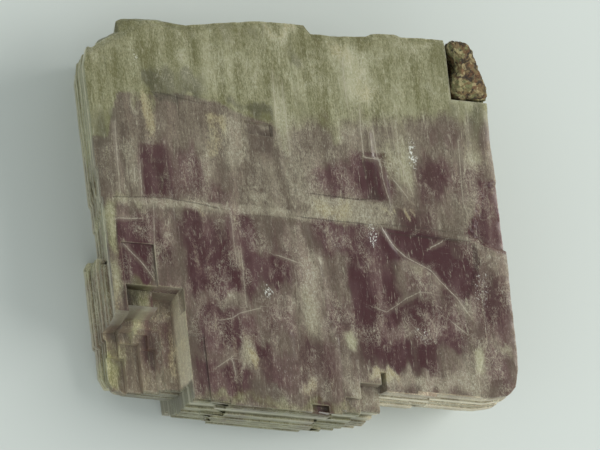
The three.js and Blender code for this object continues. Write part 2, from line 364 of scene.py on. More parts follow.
def front_lines():
    """The front's grid lines: columns at p and rows at q, close together where plates end."""
    steps = near.corners[0][[1, 3, 5, 9], 0]
    wall = WALL_SPREAD * np.linspace(0.2, 1, 5)
    p_creases = [BLOCK_LEFT, LATH[0], PANEL[0], SHELF[0]]
    p_creases += [PLATE_RIGHT, BAND_LEFT, BLOCK_RIGHT, FACET_LEFT, ROCK_ROOM[0]]
    p_creases += [c for c, _, _ in TREADS] + list(steps)
    p_creases += [-7.9, -33.6, -0.6, 2.8, -21, 6.4, 15.7, 19.7, 27.5]
    columns = ruled(LEFT, GRID_RIGHT, p_creases)
    columns = np.unique(np.concatenate([columns, BLOCK_LEFT - wall, LATH[0] + wall, SHELF[0] + wall]))
    q_creases = [LATH[1], PANEL[1], SHELF[1], SHELF[2], left.corners[0][-3, 1] + 0.05]
    q_creases += [ROCK_ROOM[1], -24, -20.8, -18.6, -15, -7, -2, 0.6, 31.4, 34.2, 35.5]
    q_creases += [c for _, c, _ in TREADS if c > LATH[1] + 0.5] + [-25.2, -17.6, -8.1]
    rows = ruled(FAR, NEAR, q_creases)
    rows = np.unique(np.concatenate([rows] + [far_edge + wall for _, far_edge in LEDGE_ROOMS]))
    return columns, rows


COLUMNS, ROWS = front_lines()
FOOT_ROW = int(np.argmin(np.abs(ROWS - LATH[1] - WALL_SPREAD)))
BLOCK_COLUMN = int(np.searchsorted(COLUMNS, BLOCK_LEFT))


def front_places():
    """Each grid point's p and q: rows bend with the far edge, the ledge, the seam and the near
    edge, and columns bend with the left and right sides."""
    near_edge = np.where(COLUMNS > BLOCK_LEFT, near.edge(COLUMNS), near_of_foot.edge(COLUMNS))
    same = np.ones_like(COLUMNS)
    anchors = [
        (FAR, far.edge(COLUMNS)), (ROCK_ROOM[1], ROCK_ROOM[1] * same),
        (-24, ledge_line(COLUMNS)), (-7, band_line(COLUMNS)), (-2, seam_line(COLUMNS)),
        (5, 5 * same), (21, 21 * same), (NEAR, near_edge),
    ]
    marks = np.array([mark for mark, _ in anchors])
    values = np.array([value for _, value in anchors])
    number = np.clip(np.searchsorted(marks, ROWS, side="right") - 1, 0, len(marks) - 2)
    share = (ROWS - marks[number]) / (marks[number + 1] - marks[number])
    q = values[number] * (1 - share[:, None]) + values[number + 1] * share[:, None]
    p = np.tile(COLUMNS, (len(ROWS), 1))
    wall_share = np.clip((ROWS - LATH[1]) / WALL_SPREAD, 0, 1)[:, None]
    left_edge = left.edge(q) + wall_share * (foot.edge(q) - left.edge(q)) - LEFT
    toward_left = np.clip(1 - (p - LEFT) / 5, 0, 1)
    right_edge = right.edge(q) - GRID_RIGHT
    toward_right = np.clip((p - FACET_LEFT - 0.1) / (GRID_RIGHT - FACET_LEFT - 0.1), 0, 1)
    facet_shift = np.interp(q, [20, 27], [0, -2.5]) * np.clip(1 - np.abs(p - FACET_LEFT) / 3.5, 0, 1)
    return p + toward_left * left_edge + toward_right * right_edge + facet_shift, q


def ledge_inset():
    """How far a grid point is past the ledge's inner walls: the most of three rooms."""
    p, q = np.meshgrid(COLUMNS, ROWS)
    insets = [np.minimum(p - left_edge, q - far_edge) for left_edge, far_edge in LEDGE_ROOMS]
    return np.minimum(np.max(insets, axis=0), BLOCK_LEFT - p)


def fine_plates(p, q):
    """Thin plates along the cleavage, seeded: how deep each is off, and how hazy it is (-1 to 1)."""
    draw = np.random.default_rng(7)
    depth, haze = np.zeros(p.shape), np.zeros(p.shape)
    for number in range(520):
        middle_p, middle_q = draw.uniform(-38, 43), draw.uniform(-42, 38)
        narrow = number % 2
        half_p = 0.35 + 0.9 * draw.random() if narrow else 0.8 + 4.2 * draw.random() ** 2
        half_q = 2.0 + 9 * draw.random() if narrow else 1.2 + 6 * draw.random() ** 2
        drop = 0.02 + 0.1 * draw.random() ** 2
        tint = draw.uniform(-1, 1) * (0.8 if narrow else 0.6)
        lies_in = np.minimum(half_p - np.abs(p - middle_p), half_q - np.abs(q - middle_q)) > 0
        depth += drop * lies_in * (number % 3 == 0)
        haze += tint * lies_in
    return depth, np.clip(haze, -1, 1)


def front_depths(p, q):
    """The depth of each grid point: the deepest of the steps there, plus fine plates, strips
    along b, edge wear and the hollow of the tilted dark facet."""
    line_p, line_q = np.meshgrid(COLUMNS, ROWS)
    depth = np.where((line_p < PLATE_RIGHT) & (line_q < -24), 1.4, 0)
    depth = np.where(line_q > -2, SEAM_DROP, depth)
    for plate_left, plate_right, plate_far, plate_near, drop in WINDOWS:
        within = (line_p > plate_left) & (line_p < plate_right)
        within = within & (line_q > plate_far) & (line_q < plate_near)
        depth = np.where(within, np.maximum(depth, drop), depth)
    facet_drop = SEAM_DROP + 0.5 * ease((line_q - 1) / 10)
    depth = np.maximum(depth, np.where((line_p > FACET_LEFT) & (line_q > -2), facet_drop, 0))
    depth = np.maximum(depth, 2.3 * ease(inside(p, q, SIDE_FACET) / 1.8 + 0.5))
    on_facet = ease(inside(p, q, DARK_FACET) / 0.7 + 0.4)
    tilt = 0.35 + 0.035 * np.clip(p - 19 - 0.9 * q, 0, 12)
    depth = np.maximum(depth, SEAM_DROP + tilt * on_facet)
    strips = rough_noise(p * 1.1, q * 0.07, np.zeros(p.shape), 3)
    swell = rough_noise(p * 0.12 + 3, q * 0.1, np.zeros(p.shape) + 5, 2)
    relief = (fine_plates(line_p, q)[0] + 0.16 * strips) * (1 - 0.8 * on_facet)
    relief = relief + 0.22 * swell + edge_wear(p, q)
    inset = ledge_inset()
    ledge = LEDGE_DEPTH * np.clip(inset / WALL_SPREAD, 0, 1)
    for right_edge, far_edge, tread in TREADS:
        over = (line_p < right_edge) & (line_q > far_edge - 1e-6) & (inset >= WALL_SPREAD - 1e-6)
        ledge = np.where(over, np.maximum(ledge, tread), ledge)
    depth = depth + relief
    depth = np.where(inset > 0, np.maximum(ledge + 0.6 * relief, depth), depth)
    rock_room = (line_p > ROCK_ROOM[0]) & (line_q < ROCK_ROOM[1])
    return np.where(rock_room, ROCK_ROOM[2], np.maximum(depth, 0.03))


def edge_wear(p, q):
    """Rounding along the outer edges: strong on the far edge, slight on the cleavage edges."""
    ragged = rough_noise(p * 0.6, q * 0.6, np.zeros(p.shape) + 9, 3)
    worn = 0.8 * ease(1 - (q - far.edge(p)) / 1.6) * (0.35 + ragged)
    worn = worn + 0.5 * ease(1 - (p - left.edge(q)) / 0.8) * ragged
    worn = worn + 0.5 * ease(1 - (right.edge(q) - p) / 0.8) * ragged
    near_edge = np.where(p > BLOCK_LEFT, near.edge(p), near_of_foot.edge(p))
    return worn + 0.45 * ease(1 - (near_edge - q) / 0.7) * ragged


# Outlines in p and q: two facets, and the milky part of the dark one.
SIDE_FACET = [(38.9, -12.9), (44, -14), (44, 0.9), (40.6, 0.9), (34.5, -1.9), (37, -6.3)]
DARK_FACET = [
    (17.7, -1.9), (26.7, -0.9), (36.3, -0.4), (36.6, 3.8), (33.3, 11.7), (30.5, 10), (27.8, 7.2),
    (25, 5.3), (21.2, 3.6), (19.4, 2),
]
MILKY_PART = [(20, 2.2), (26.6, 6.2), (29.5, 9.4), (27, 10.4), (23.5, 10.4), (20.6, 12.2), (19.6, 7)]


# ---------------- the sides
def outline_runs():
    """The front grid's outline in order, as grid indices with the side that each point is on."""
    last_column, last_row = len(COLUMNS) - 1, len(ROWS) - 1
    across = np.arange(last_column, 0, -1)
    down, foot_down = np.arange(0, FOOT_ROW), np.arange(FOOT_ROW, last_row)
    foot_across = np.arange(0, BLOCK_COLUMN)
    near_across = np.arange(BLOCK_COLUMN, last_column)
    up = np.arange(last_row, 0, -1)
    return [
        (far, across, 0 * across), (left, 0 * down, down), (foot, 0 * foot_down, foot_down),
        (near_of_foot, foot_across, 0 * foot_across + last_row),
        (near, near_across, 0 * near_across + last_row), (right, 0 * up + last_column, up),
    ]


def lamella_depths():
    """The depths between lamellae: each page is parted in two or three."""
    draw = np.random.default_rng(11)
    depths, pages = [0.0], []
    for page in range(PAGE_COUNT):
        start, end = PAGE_DEPTHS[page], PAGE_DEPTHS[page + 1]
        parts = 1 + int(draw.integers(1, 3))
        cuts = np.sort(draw.uniform(0.15, 0.85, parts - 1))
        ends = list(start + (end - start) * cuts) + [end]
        depths += ends
        pages += [page] * parts
    return np.array(depths), np.array(pages)


LAMELLA_DEPTHS, LAMELLA_PAGES = lamella_depths()


def far_lumps(p, q, d):
    """The far side with rounded growths: the lesser q of the plane and each ellipsoid."""
    lumps = [
        (2.6, -0.1, 2.4, 5.4, 1.5, 2.2), (22.6, 0, 1.6, 2.7, 1.3, 1.5), (-25, 1.8, 4, 6.5, 1.5, 3.4),
        (-9, 1.2, 7, 7, 1.5, 4.2), (13.5, 1.2, 8.5, 6, 1.7, 4.6), (30, 0.6, 9, 5.2, 1.7, 4.8),
        (-30, 4.4, 13, 4.2, 2, 6), (-17, 2, 15, 6, 1.9, 4.6), (3, 1.6, 17, 6.8, 1.8, 5),
        (22, 1.5, 18.5, 6.2, 2, 5.2), (-24, 2.4, 25, 6.2, 2, 4.6), (-6, 2.2, 26, 7.2, 1.9, 4.4),
        (12, 2, 27, 6.4, 1.7, 4), (33, 1.6, 26, 5.4, 1.9, 4.6),
    ]
    lowest = q
    for middle_p, offset, middle_d, radius_p, radius_q, radius_d in lumps:
        rest = 1 - ((p - middle_p) / radius_p) ** 2 - ((d - middle_d) / radius_d) ** 2
        bulge = FAR + offset - radius_q * np.sqrt(np.clip(rest, 0, 1))
        lowest = np.where(rest > 0, np.minimum(lowest, bulge), lowest)
    return lowest


def side_places(p, q, d):
    """The sides: every outline point carried down, with each page and lamella set in or out.

    A row above the front's own depth at its outline point stays on that point."""
    runs = outline_runs()
    columns = np.concatenate([c for _, c, _ in runs])
    rows = np.concatenate([r for _, _, r in runs])
    p0, q0, d0 = p[rows, columns], q[rows, columns], d[rows, columns]
    along = [(p, q)[side.axis][r, c] for side, c, r in runs]
    moved = np.concatenate([run[0].moved(here) for run, here in zip(runs, along)], axis=1)
    outward = np.concatenate([np.tile(side.outward, (len(c), 1)) for side, c, _ in runs])
    on_far = np.concatenate([np.full(len(c), side is far) for side, c, _ in runs])
    number = np.repeat(np.arange(len(LAMELLA_PAGES)), 2)
    row_depth = np.stack([LAMELLA_DEPTHS[:-1], LAMELLA_DEPTHS[1:]], axis=1).ravel()
    page_row = number[:, None]
    chips = rough_noise(np.concatenate(along)[None, :] * 0.9, page_row * 3.7, page_row * 1.3, 3)
    setting = 0.1 * scatter(number, 70)[:, None] - 0.4 * np.clip(chips - 0.56, 0, 1)
    step = moved[LAMELLA_PAGES[number]] + setting[..., None] * outward
    on_wall = (columns == 0) & (ROWS[rows] > LATH[1]) & (rows < FOOT_ROW)
    base_p = np.where(on_wall, left.edge(q0), p0)
    side_p, side_q = base_p + step[..., 0], q0 + step[..., 1]
    depth = np.tile(row_depth[:, None], (1, len(p0)))
    coarse = rough_noise(side_p * 0.35, depth * 0.45, np.zeros(depth.shape) + 2, 4) - 0.5
    lumpy = far_lumps(side_p, side_q, depth) + 1.1 * coarse
    fade = ease((depth - d0) / 1.2)
    side_q = np.where(on_far, side_q + fade * (lumpy - side_q), side_q)
    above = depth <= d0 + 0.03
    side_p, side_q = np.where(above, p0, side_p), np.where(above, q0, side_q)
    return side_p, side_q, np.where(above, d0, depth), above, columns, rows, number


# ---------------- meshes
def quads(index):
    """The four corners of each cell of an index grid."""
    return np.stack([index[:-1, :-1], index[1:, :-1], index[1:, 1:], index[:-1, 1:]], axis=-1).reshape(-1, 4)


def triangles(cells):
    """Each four-cornered cell as two triangles, without those that have lost a side."""
    halves = np.concatenate([cells[:, [0, 1, 2]], cells[:, [0, 2, 3]]])
    kept = (halves[:, 0] != halves[:, 1]) & (halves[:, 1] != halves[:, 2]) & (halves[:, 2] != halves[:, 0])
    return halves[kept]


def mesh_piece(name, places, faces, material, values=None):
    """A mesh object at the origin from places in metres and faces, with named point values."""
    mesh = bpy.data.meshes.new(name)
    mesh.from_pydata(places, [], faces)
    for label, numbers in (values or {}).items():
        layer = mesh.attributes.new(label, "FLOAT", "POINT")
        layer.data.foreach_set("value", np.ascontiguousarray(numbers, np.float32))
    mesh.materials.append(material)
    mesh.update()
    piece = bpy.data.objects.new(name, mesh)
    bpy.context.scene.collection.objects.link(piece)
    return piece


def crystal_surface():
    """The whole block as one closed skin: the front's grid, the sides and the flat back."""
    p, q = front_places()
    d = front_depths(p, q)
    grid = np.arange(p.size).reshape(p.shape)
    front_faces = triangles(quads(grid))
    side_p, side_q, side_d, above, columns, rows, number = side_places(p, q, d)
    outline = grid[rows, columns]
    below = p.size + np.arange(side_p.size).reshape(side_p.shape)
    index = np.where(above, outline, below)
    index = np.concatenate([outline[None, :], index])
    index = np.concatenate([index, index[:, :1]], axis=1)
    side_faces = triangles(quads(index))
    values_p = np.concatenate([p.ravel(), side_p.ravel()])
    values_q = np.concatenate([q.ravel(), side_q.ravel()])
    values_d = np.concatenate([d.ravel(), side_d.ravel()])
    back = index[-1, :-1]
    return values_p, values_q, values_d, front_faces, side_faces, back, p.shape, number


# ---------------- where each tone lies
# Patches in five lists of one form: middle p, middle q, half sizes along p and q, strength.
WINE = [
    (-26.6, -9.4, 3.6, 5.8, 0.6), (-20.3, -10, 2.6, 5.4, 0.5), (-15.3, -5.4, 2.7, 1.2, 0.35),
    (16.7, -12.6, 4.3, 4.3, 0.8), (8.8, -11.1, 3.4, 3.4, 0.45), (29.1, -11.6, 3.4, 5, 0.5),
    (31.8, -22.1, 3.7, 2.2, 0.3), (-29.1, 7.2, 3.4, 2.4, 0.8), (-19.8, 2.5, 4.7, 3.8, 0.5),
    (-17.3, 10.1, 5, 4.4, 1), (-6.6, 9, 4.9, 2.9, 0.7), (-12.4, 0, 1.2, 3.5, 0.45),
    (-9.1, 0.8, 1.5, 3.2, 0.55), (7.8, 1.3, 3.4, 2.4, 0.45), (14.6, 1.8, 5.8, 3.6, 0.75),
    (14.6, 12.5, 4.6, 7, 0.95), (26.1, 16.1, 7.2, 4, 0.6), (31.3, 7.7, 3, 3.8, 0.7),
    (38.2, 12.2, 4, 7.7, 0.4), (26.8, 20.2, 5.6, 2.2, 0.6), (15.6, 23.1, 5.2, 3.6, 0.45),
    (20.3, 24.4, 6, 2.7, 0.5), (38.3, 24.8, 2.5, 3.8, 0.5), (-15.4, 22.8, 2.4, 3.2, 0.7),
    (-19.8, 21.4, 2.6, 5, 0.5), (-9.8, 25.5, 1.4, 1.2, 0.6), (-15.3, 32.5, 2.8, 2.8, 0.75),
    (-21, 31.6, 2.6, 3.8, 0.5), (-6.1, 29.4, 4, 3.8, 0.35), (-5.5, 19.1, 3.4, 3, 0.35),
    (2.1, 26.4, 3.8, 4, 0.25), (1.5, 36.1, 1.7, 0.9, 1), (-33.2, 10.4, 3.2, 3.8, 0.75),
    (-32.7, 8.2, 2.6, 1.6, 0.3), (-27.8, 22.8, 3.2, 6.3, 0.4), (19.5, -12.5, 2, 5, 0.4),
    (-15.3, 9.9, 7.2, 4.8, 0.6), (-29.5, 2, 2.8, 2.8, 0.45), (7.2, -1.9, 3.2, 2.4, 0.5),
    (-13.7, 21.9, 3.6, 3.2, 0.6), (24.1, 8.6, 3.2, 2.8, 0.45), (39.2, -24, 2.8, 5, 0.2),
    (9, -10, 6, 3.4, 0.4), (17, -11, 4, 4, 0.3), (-1.9, 7, 3.2, 6, 0.15), (25, -2.5, 4, 4, 0.55),
    (35.5, -13, 5, 3, 0.4), (-11.5, 6, 3, 7, 0.4), (11.5, 2, 3, 3, 0.8), (7, 0, 4, 2, 0.3),
    (-14, 9, 5, 5, 0.4), (7, 17.5, 2.5, 3, 0.4), (-22, -8, 12, 4, 0.15),
]
VEIL = [
    (-18.7, -31.7, 1.8, 6.8, 0.45), (-22, -27.5, 1.2, 2.2, 0.55), (-10.1, -29.6, 6.6, 5.6, 0.25),
    (-0.3, -21.5, 1.6, 6.2, 0.6), (1.1, -39, 3.8, 1.4, 0.6), (15.7, -31.2, 3.2, 6.7, 0.45),
    (21.7, -16.4, 3.7, 5.4, 0.5), (12.5, -20.5, 1.6, 2.4, 0.5), (-15, -15.7, 2.8, 3.8, 0.5),
    (-16.2, -9.3, 1.7, 2.8, 0.6), (-31.6, -10.1, 1.3, 6.2, 0.5), (-3.7, -10.9, 3.4, 4, 0.3),
    (2.4, -10.5, 3.7, 5, 0.35), (10.9, -4.9, 5.8, 2.2, 0.2), (36.9, -14.2, 1.8, 7, 0.45),
    (25.3, -3.8, 8.7, 2.6, 0.1), (1.8, 13.8, 2, 9.5, 0.9), (3.8, 6.9, 2.4, 3.6, 0.4),
    (6.4, 15.4, 2.8, 4.5, 0.3), (8.7, 21.8, 1.4, 2, 0.95), (7.5, 28.5, 0.8, 4.6, 0.45),
    (-12.3, 26, 1.4, 3.8, 0.7), (-11.7, 11.1, 0.7, 5.5, 0.4), (-14.4, 15.2, 2.5, 1.3, 0.35),
    (34.7, 23.7, 1.4, 3.6, 0.85), (14.6, 28.7, 3.2, 1.2, 0.6), (24.4, 7.8, 3.8, 3.2, 0.4),
    (24.2, 6.4, 1.4, 1.2, 0.45), (40.4, 19.8, 1.4, 1, 0.6), (-0.9, 32.2, 1.8, 1.4, 0.6),
    (-5.5, 19.7, 3.4, 1.4, 0.35), (-26.2, 3.1, 1.4, 3.8, 0.35), (-29.9, 1, 0.9, 3.8, 0.35),
    (-21.8, -2.4, 7.2, 1.2, 0.3), (40.7, 2.4, 2.6, 1.8, 0.3), (-17.4, 16.2, 4.4, 1.2, 0.3),
    (37.8, 26.3, 2, 1.6, 0.35), (-37.4, 2.5, 1.2, 5.4, 0.5), (-37.8, 14.1, 1.3, 6, 0.55),
    (-27.1, 22.3, 1.4, 9, 0.3), (16.7, -32.6, 3.2, 5.6, 0.7), (-10.1, -16.4, 2.4, 5.6, 0.8),
    (-5.4, -4.7, 3.6, 1.6, 0.8), (24, 18.3, 4.4, 3.2, 0.6), (23.8, 29.2, 12, 1.8, 1),
    (35.2, -0.1, 2.8, 2, 0.5), (15.3, 33.2, 2.8, 1.6, 0.8), (38, 23.6, 2.2, 4, 0.5),
    (11, 32.4, 3, 1.6, 0.8), (-0.5, 3.5, 2.4, 3.4, 0.6), (-4, 17.5, 5, 2.4, 0.4), (33, 25.5, 4, 3, 0.4),
    (18.5, 20.5, 5, 2.4, 0.4), (33.5, 13.5, 4, 5, 0.5),
]
OCHRE = [
    (-27.5, -21, 1, 3.4, 0.8), (-13.5, -19.6, 2.6, 1.9, 0.8), (-14.3, -15, 2, 2.6, 0.6),
    (7.8, -4.5, 4.4, 1.9, 0.6), (16.5, -31.4, 2, 6, 0.45), (12.8, -37.2, 2, 2.6, 0.4),
    (14.8, 28.6, 3.4, 1.2, 0.9), (1.2, -39.8, 3.8, 1, 0.6), (18.8, -28.1, 1.8, 1.8, 0.35),
    (20.9, -5.9, 4, 0.3, 0.8), (-19, -2.2, 0.8, 0.7, 0.4), (-11.3, 28.3, 0.9, 1.8, 0.9),
    (-0.7, 32.5, 1.5, 1, 0.5), (-37.7, 3.5, 1.2, 4.5, 0.3), (43.2, 2.1, 0.6, 1.8, 0.4),
    (-36.9, 29, 2.7, 3.6, 0.45), (-38.2, 19.5, 1, 5.6, 0.5), (-24.9, 25.9, 1, 6.5, 0.5),
    (-32.1, 15.6, 2, 2.8, 0.3),
]
# SHADE is dark olive-brown: partly the crystal's own dark tone, partly painted shadow along the foot of
# steps, in the sunk notch and on the ledge.
SHADE = [
    (-7.3, -23.5, 5.7, 0.8, 0.7), (3.9, -35.6, 1.8, 1.8, 0.55), (-25.9, -26.9, 2, 1.6, 0.7),
    (-20.5, -24.9, 4.8, 0.7, 0.55), (-33.6, -19.6, 1.4, 3, 0.35), (5.4, -24.1, 2.2, 2.6, 0.3),
    (37.3, -27.7, 3.5, 1.2, 0.3), (-34.8, -0.9, 0.4, 1.1, 0.5), (-28.1, -1.5, 0.8, 1.1, 0.55),
    (-25.4, -1.4, 0.9, 1, 0.5), (-13.3, -4.1, 6.6, 0.3, 0.3), (15.7, -8.2, 4.2, 0.5, 0.3),
    (-29.9, 11.7, 0.7, 2, 0.4), (-28.2, 22.6, 1.2, 6, 0.4), (-32.1, 15.6, 2.4, 2.8, 0.35),
    (-34.8, 18.4, 2.3, 3.8, 0.4), (-6.8, -39.2, 10, 1.4, 0.4), (-21.8, -27.7, 6.8, 3.2, 0.8),
    (39.5, -25, 2.4, 4, 0.5), (33.6, -24.5, 2.8, 3.8, 0.3), (-26.3, 9.3, 2.8, 2.4, 0.3),
    (-10, 33.6, 5, 2, 0.6), (25, -1.5, 5, 2.6, 0.3), (-36, -17, 3, 5, 0.35), (-37.5, -12, 2, 9, 0.4),
    (-26.6, -9.4, 3.6, 5.8, 0.35),
]
OLIVE = [
    (-27.7, -23.5, 3, 2, 0.6), (37.8, -20.7, 2, 6.2, 0.4), (22, -15.8, 4, 6.4, 0.45),
    (-37.5, 2.5, 1.3, 5.4, 0.5), (9.7, -20.8, 2.4, 3, 0.5), (24.2, 6.4, 1.4, 1.2, 0.5),
    (8.7, 21.8, 1.4, 2, 0.7), (34.7, 23.7, 1.4, 3.6, 0.7), (1.4, 16.9, 2, 6.5, 0.4),
    (-5.2, 35.8, 22, 1.4, 0.5), (-12.3, 26.2, 1.4, 4, 0.4), (-33.6, -2.3, 4.5, 1, 0.4),
    (-0.5, -19.1, 1.6, 3.8, 0.4), (-13.9, -17.8, 2.4, 3.8, 0.3), (40.4, 19.8, 1.4, 1, 0.4),
    (-37.5, 2.9, 1.2, 5, 0.5), (-37.8, 14.1, 1.3, 6, 0.5), (-32.1, 15.6, 2.4, 2.8, 0.6),
    (-31.4, 19, 1.3, 3.1, 0.5), (-36.9, 29, 2.7, 3.6, 0.9), (-35, 24, 3, 4, 0.4),
]
# Plates of an even tone: left, right, far and near edges, then wine, veil and shade; the shade in the sunk
# windows and on the ledge is painted shadow.
PLATES = [
    (-7.3, -2.7, -20.4, -14.8, 0.2, -0.1, 0.5), (-7, -1.8, -24.7, -21.1, 0.4, -0.1, 0.5),
    (-4.8, -2.6, -20.6, -19.6, -0.3, 0.8, -0.4), (-36.4, -32.4, 1.4, 6.6, 0.75, -0.2, 0.25),
    (-0.2, 3.2, 35.2, 37, 1.1, -0.3, 0.3), (-30, -25.4, -14.7, -3.9, 0.35, -0.2, 0),
    (14.6, 20, -16.9, -7.4, 0.5, -0.3, 0.4), (3.9, 20.5, -6.8, -2.3, -0.5, 0.5, -0.2),
    (18.5, 31, -0.8, 4.4, 0.5, -0.4, 0), (9.9, 12.7, 7, 19.4, 0.25, -0.2, 0),
    (-36.8, -30, 7.1, 14.3, 0.3, -0.1, 0.2), (-36.8, -32.6, 15, 22, 0.3, -0.2, 0.35),
    (-32.6, -30.2, 16.5, 21.8, -0.3, 0.2, -0.2), (-30, -25.2, 18.8, 28, 0.3, -0.1, 0.25),
]
# Healed fractures seen as thin pale lines: strength, then corners in p and q.
FRACTURES = [
    (1, (17.8, -1.7), (19, 0.6), (20.2, 2.1), (22, 3.7), (26.8, 5.9),
     (28.2, 7.8), (31.3, 11.1), (33.5, 14.4)),
    (0.7, (14.7, 14.7), (16.7, 15.3), (19.5, 13.3), (21.1, 12.1), (23.9, 10.6), (26.3, 10.6)),
    (0.9, (-4.4, 5.8), (-2.4, 6.3), (-0.3, 6.9)),
    (1, (15.9, -25.5), (15.6, -21.4), (15.6, -15.8), (19, -15.7)),
    (0.7, (18.1, -22), (18.4, -16), (19.5, -8.5)), (0.5, (20.5, -25.3), (21.3, -18.7)),
    (0.9, (22.8, -16.1), (24.7, -9.4)), (0.9, (21.3, -11.7), (23.6, -8.5)),
    (1, (27.6, 1), (29.7, -0.2)), (0.9, (29.9, 16.3), (32.1, 17.9)), (0.9, (22.4, 18.4), (23.3, 19.4)),
    (0.8, (-19, 29.8), (-15.9, 27.5)), (0.7, (-15.9, 27.7), (-15.5, 30.7)),
    (0.9, (-35.1, 6.2), (-33.7, 7.9), (-31.9, 9.7), (-29.8, 12.8)), (0.9, (-36.1, 1.3), (-32, 1)),
    (0.9, (-30.1, -10.4), (-30.3, -6.4), (-30.4, -4)), (1, (-31.4, -9.1), (-31.5, -6.7)),
    (0.6, (-11.6, 5.5), (-11.6, 9.6), (-11.8, 16.6)), (0.6, (-28.3, -2), (-28.9, 5.1), (-29.3, 14.1)),
    (0.8, (18.9, -15.5), (19.1, -11.5), (19.7, -8.1)),
    (0.7, (35.2, -20.6), (35, -15.6), (34.8, -8.5), (35.5, -5.8)),
    (0.6, (-39.3, 8.1), (-38.7, 15.1), (-38.4, 20.2)),
    (0.7, (-17.5, 20.2), (-15, 19.6), (-13.3, 18.4), (-9.1, 17)),
    (0.6, (-1, -31.1), (-1.3, -24.8), (-1.6, -18.6)), (0.6, (0.6, -29), (0.6, -21.8), (0.8, -15)),
    (0.6, (-34.2, -18.5), (-34.6, -11), (-34.8, -3.9)),
    (0.6, (13.5, -35.1), (13.4, -30.7), (13.5, -25.8)), (0.6, (-12.7, -1), (-12.8, 3.6), (-12.7, 8)),
    (0.6, (22.9, -23.9), (22.8, -17.5), (22.2, -11)),
]
# Thin dark lines in the form of the fractures.
GROOVES = [
    (0.7, (-36.1, -3), (-29.2, -3.6), (-24.8, -3.7), (-19.2, -3.2), (-14.9, -2.6)),
    (0.9, (4.4, -7.4), (7.4, -7.3), (10.4, -7.2), (13.8, -7.1), (17, -7.6)),
    (0.8, (1.8, -2.4), (7.2, -2.3), (11.7, -2.3), (14.9, -2.2)),
    (0.6, (-26.5, -25.1), (-23.5, -24.9), (-20.2, -24.3), (-15.8, -23.7)),
    (0.6, (18.3, -0.9), (23.2, -0.8), (29.2, -0.8), (35.2, -0.7)),
    (0.5, (16.8, -2.4), (20.9, -2.6), (26.9, -2.5), (31.9, -2.2)),
    (0.8, (-39.3, -17.6), (-39.8, -11.5), (-40.2, -4.4)), (0.2, (-29.4, 6), (-29.5, 14.1)),
    (0.6, (-36.1, 1.4), (-36.5, 6.9)),
]
# Painted glints: white highlight spots, in the patches' form.
GLINTS = [
    (25.5, -17.5, 1, 3.6, 1), (-6.9, 13.4, 1.2, 1.4, 1), (15.6, 0.2, 1.4, 3.2, 0.8),
    (36.5, 9, 2, 5, 0.6), (24, 19.5, 3, 2, 0.6), (-28.5, -32, 0.6, 2.6, 0.8),
]


def drifted(p, q):
    """The same places pushed about by rough noise, so that patches have ragged outlines."""
    slide = rough_noise(p * 0.5, q * 0.3, 0 * p + 3, 3) - 0.5
    climb = rough_noise(p * 0.6 + 20, q * 0.2, 0 * p + 8, 3) - 0.5
    return p + 1.6 * slide, q + 6.0 * climb


def patches(p, q, places):
    """The sum of patches, each a plate along p and q with ends softer than its sides."""
    total = np.zeros(p.shape)
    for middle_p, middle_q, half_p, half_q, strength in places:
        sides = ease((1.15 * half_p + 0.4 - np.abs(p - middle_p)) / (0.8 + 0.5 * half_p))
        ends = ease((1.15 * half_q + 0.7 - np.abs(q - middle_q)) / (1.0 + 0.7 * half_q))
        total += strength * sides * ends
    return total


def plate_tones(p, q, which):
    """The sum of the even plates' strengths for one of wine (0), veil (1) and shade (2)."""
    total = np.zeros(p.shape)
    for plate_left, plate_right, plate_far, plate_near, *strengths in PLATES:
        sides = np.minimum(p - plate_left, plate_right - p)
        ends = np.minimum(q - plate_far, plate_near - q)
        total += strengths[which] * ease(np.minimum(sides, ends) / 0.6 + 0.5)
    return total


def line_values(p, q, lines):
    """The signed distance to the nearest of some lines, and how strong that line is there."""
    nearest, signed, strength = np.full(p.shape, 1e9), np.zeros(p.shape), np.zeros(p.shape)
    for power, *corners in lines:
        for (p0, q0), (p1, q1) in zip(corners[:-1], corners[1:]):
            run_p, run_q = p1 - p0, q1 - q0
            length = math.hypot(run_p, run_q)
            along = np.clip(((p - p0) * run_p + (q - q0) * run_q) / length**2, 0, 1)
            distance = np.hypot(p - p0 - along * run_p, q - q0 - along * run_q)
            turn = np.sign((p - p0) * run_q - (q - q0) * run_p)
            closer = distance < nearest
            nearest = np.where(closer, distance, nearest)
            signed = np.where(closer, turn * distance, signed)
            strength = np.where(closer, power, strength)
    return np.clip(signed, -3, 3), strength * ease(2.2 - nearest)


def step_rims(d):
    """High at the brink of each sharp step, where a pale rim is laid that is partly chipped edge and partly
    painted highlight: the most that the depth drops across a crease.
    """
    rim = np.zeros(d.shape)
    for lines, depths, rims in ((ROWS, d, rim), (COLUMNS, d.T, rim.T)):
        drop = np.diff(depths, axis=0) * (np.diff(lines) < CREASE_GAP + 0.02)[:, None]
        rims[:-1] = np.maximum(rims[:-1], drop)
        rims[1:] = np.maximum(rims[1:], -drop)
    return np.clip(rim / 0.6, 0, 1)


